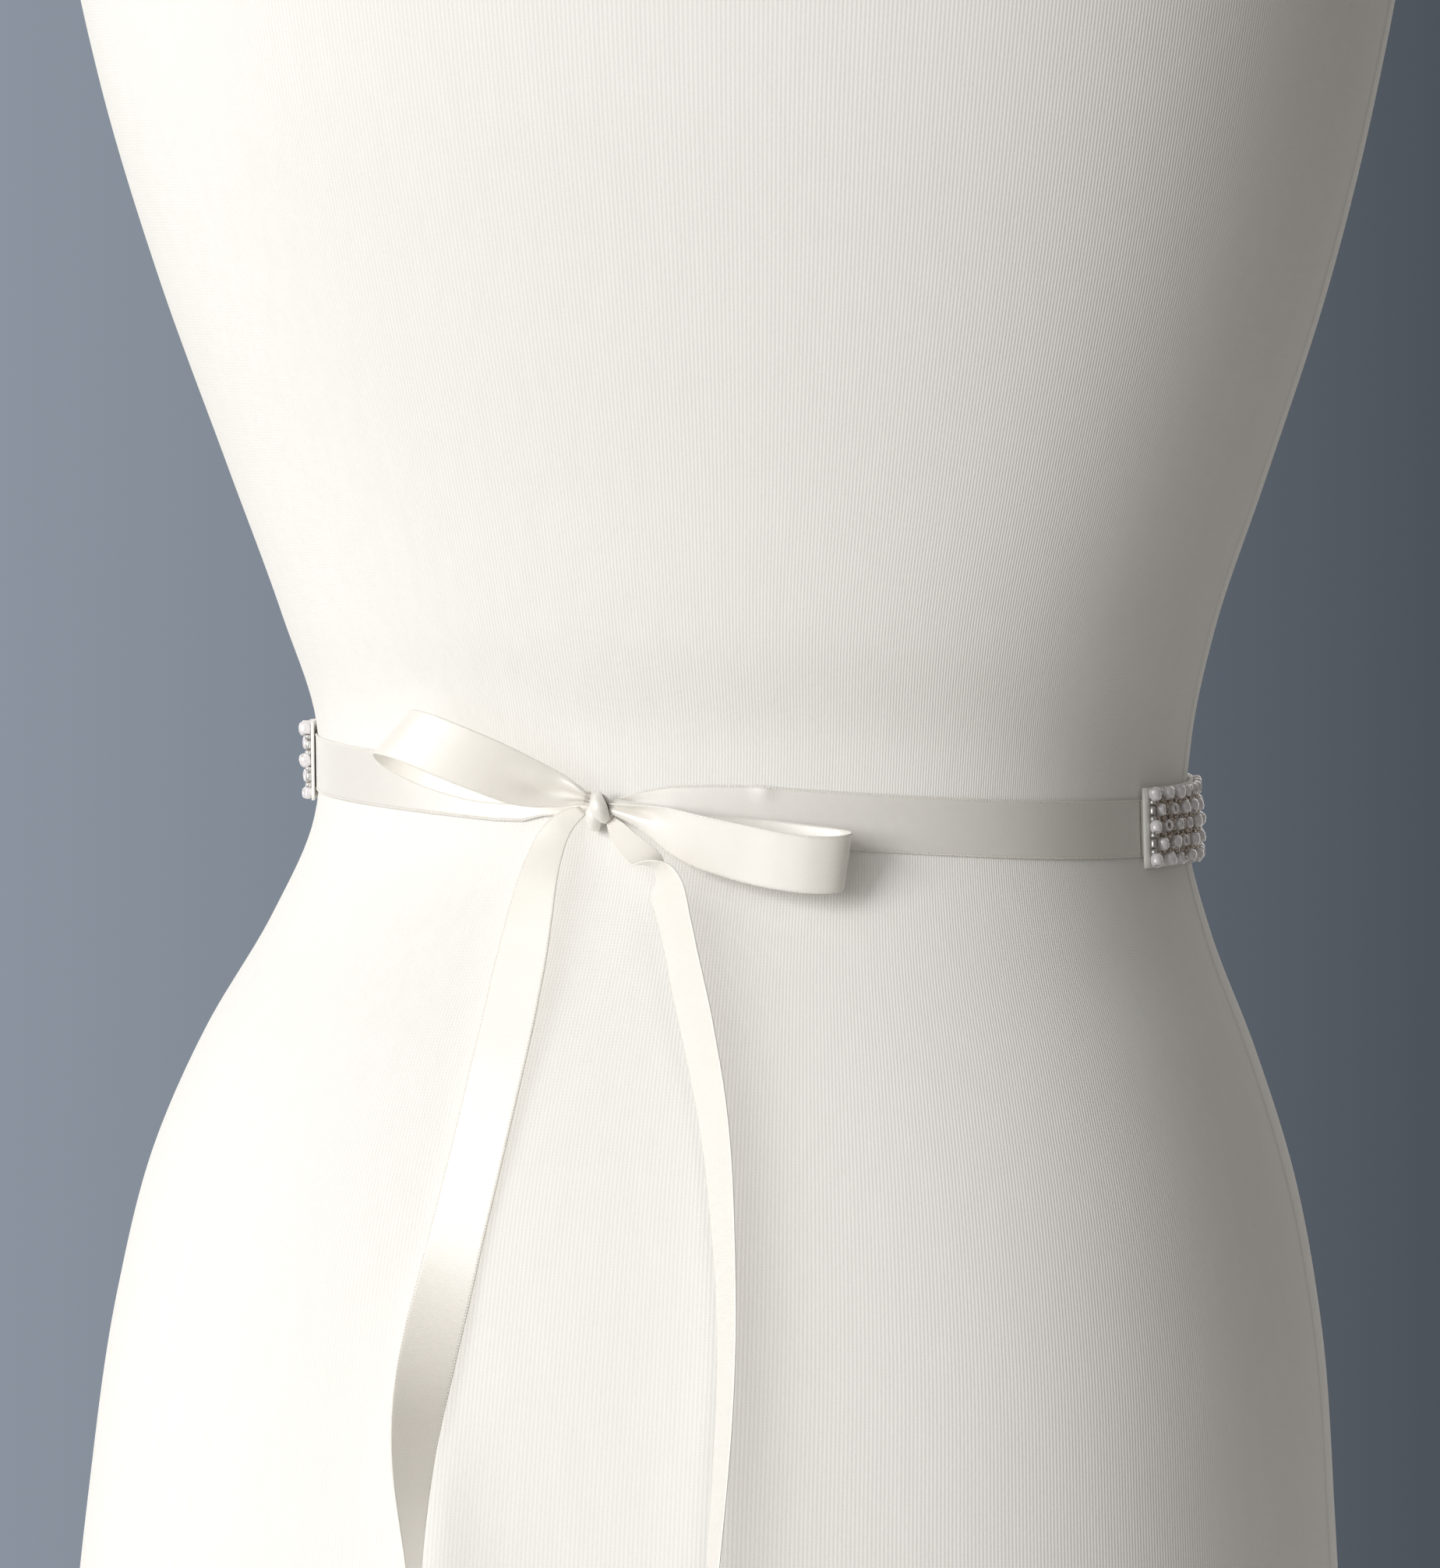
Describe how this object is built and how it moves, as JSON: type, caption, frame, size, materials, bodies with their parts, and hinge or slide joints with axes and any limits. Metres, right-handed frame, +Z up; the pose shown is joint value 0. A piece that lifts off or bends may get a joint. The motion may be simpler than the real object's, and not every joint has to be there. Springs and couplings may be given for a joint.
{
  "type": "beaded bridal sash on a dress form",
  "caption": "Narrow satin ribbon sash with a pearl-beaded front panel, tied in a bow at the back of a limbless dress form.",
  "frame": {"origin": "the middle of the dress form's flat base", "axes": "+Z up along the form, -Y towards the wearer's back and the bow, +Y towards the middle of the beaded panel, +X the wearer's right"},
  "size_m": [0.3692, 0.2776, 0.825],
  "materials": {
    "ivory_jersey": "matt fine-ribbed knit jersey",
    "ivory_satin": "single-face satin with woven edges",
    "white_felt": "matt non-woven felt",
    "pearl_and_glass_beads": "pearl and silver-lined beads"
  },
  "bodies": {
    "root": {"dress_form": "ivory_jersey", "waist_ribbon_right": "ivory_satin", "waist_ribbon_left": "ivory_satin", "waist_ribbon_behind_panel": "ivory_satin", "knot": "ivory_satin", "loop_left": "ivory_satin", "loop_right": "ivory_satin", "tail_left": "ivory_satin", "tail_right": "ivory_satin", "panel_backing": "white_felt", "bead_layer": "pearl_and_glass_beads"}
  },
  "joints": []
}
